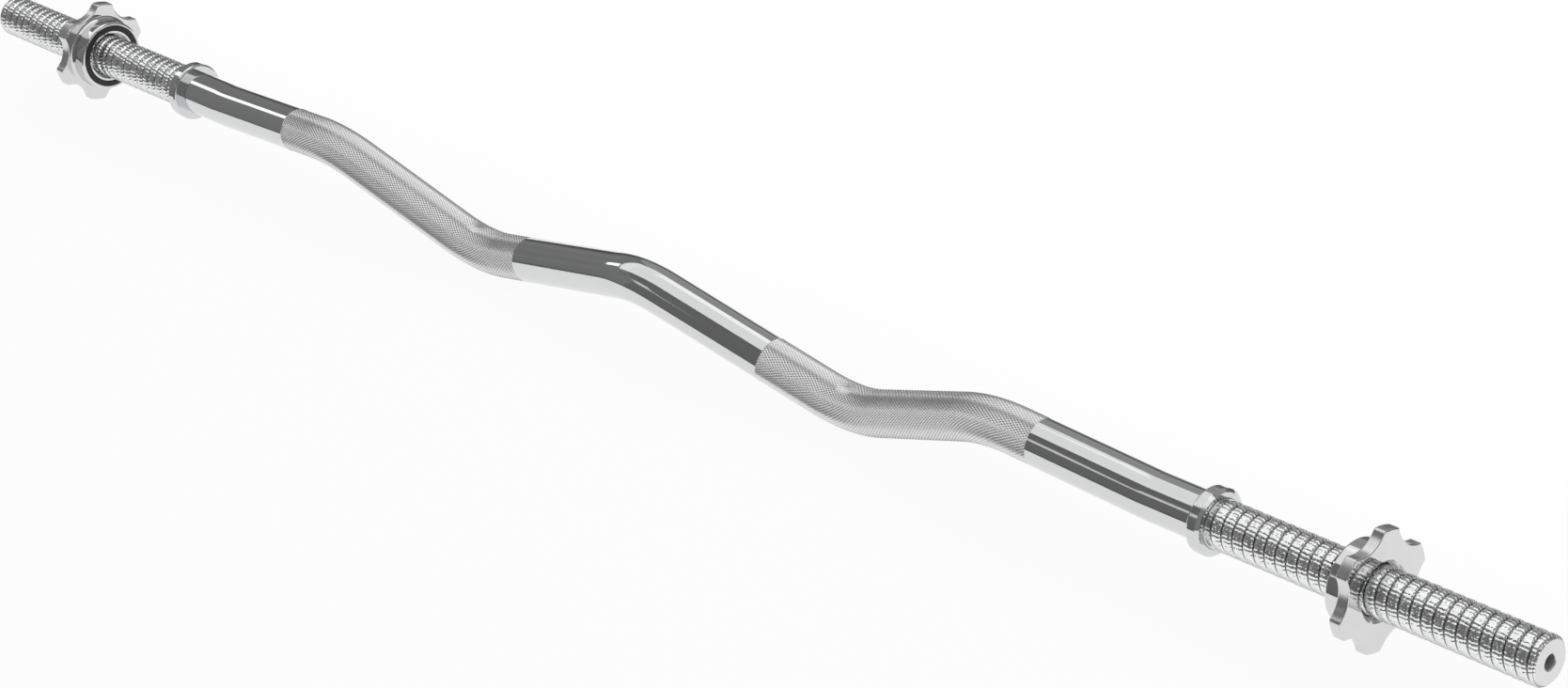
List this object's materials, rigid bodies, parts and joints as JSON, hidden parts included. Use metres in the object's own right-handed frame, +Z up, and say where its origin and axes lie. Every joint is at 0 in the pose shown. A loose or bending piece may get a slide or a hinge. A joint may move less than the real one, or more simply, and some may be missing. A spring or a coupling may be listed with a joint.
{
  "type": "ez curl bar",
  "caption": "Chromed curl bar with a shallow W bend, knurled grips, threaded plate sleeves, inner collars and spin-lock star nuts with rubber rings.",
  "frame": {"origin": "middle of the bar, on the line of the two threaded sleeves", "axes": "+X along the bar to the right end, +Z up, bends in the XZ plane with the inner bends down"},
  "size_m": [1.2, 0.0604, 0.074],
  "materials": {
    "chromed_shaft": "bright chrome with satin knurled grips",
    "chromed_collar": "bright chrome, turned",
    "chromed_nut": "chrome over a cast surface",
    "rubber": "matt black",
    "spring_steel": "dull oiled steel"
  },
  "bodies": {
    "bar": {"shaft": "chromed_shaft", "left_inner_collar": "chromed_collar", "left_collar_pin": "spring_steel", "right_inner_collar": "chromed_collar", "right_collar_pin": "spring_steel"},
    "left_ring": {"left_rubber_ring": "rubber"},
    "left_nut": {"left_star_nut": "chromed_nut"},
    "right_ring": {"right_rubber_ring": "rubber"},
    "right_nut": {"right_star_nut": "chromed_nut"}
  },
  "joints": [
    {"name": "left_nut_travel", "type": "slide", "parent": "bar", "child": "left_ring", "axis": [-1, 0, 0], "range_m": [-0.0825, 0.1091]},
    {"name": "left_nut_spin", "type": "hinge", "parent": "left_ring", "child": "left_nut", "pos_m": [-0.5105, 0, 0], "axis": [-1, 0, 0], "range_deg": [-4558.15, 6031.38]},
    {"name": "right_nut_travel", "type": "slide", "parent": "bar", "child": "right_ring", "axis": [1, 0, 0], "range_m": [-0.079, 0.1126]},
    {"name": "right_nut_spin", "type": "hinge", "parent": "right_ring", "child": "right_nut", "pos_m": [0.507, 0, 0], "axis": [1, 0, 0], "range_deg": [-4364.31, 6225.23]}
  ],
  "couplings": [
    {"joint": "left_nut_travel", "follows": "left_nut_spin", "m_per_rad": 0.0010345},
    {"joint": "right_nut_travel", "follows": "right_nut_spin", "m_per_rad": 0.0010345}
  ]
}
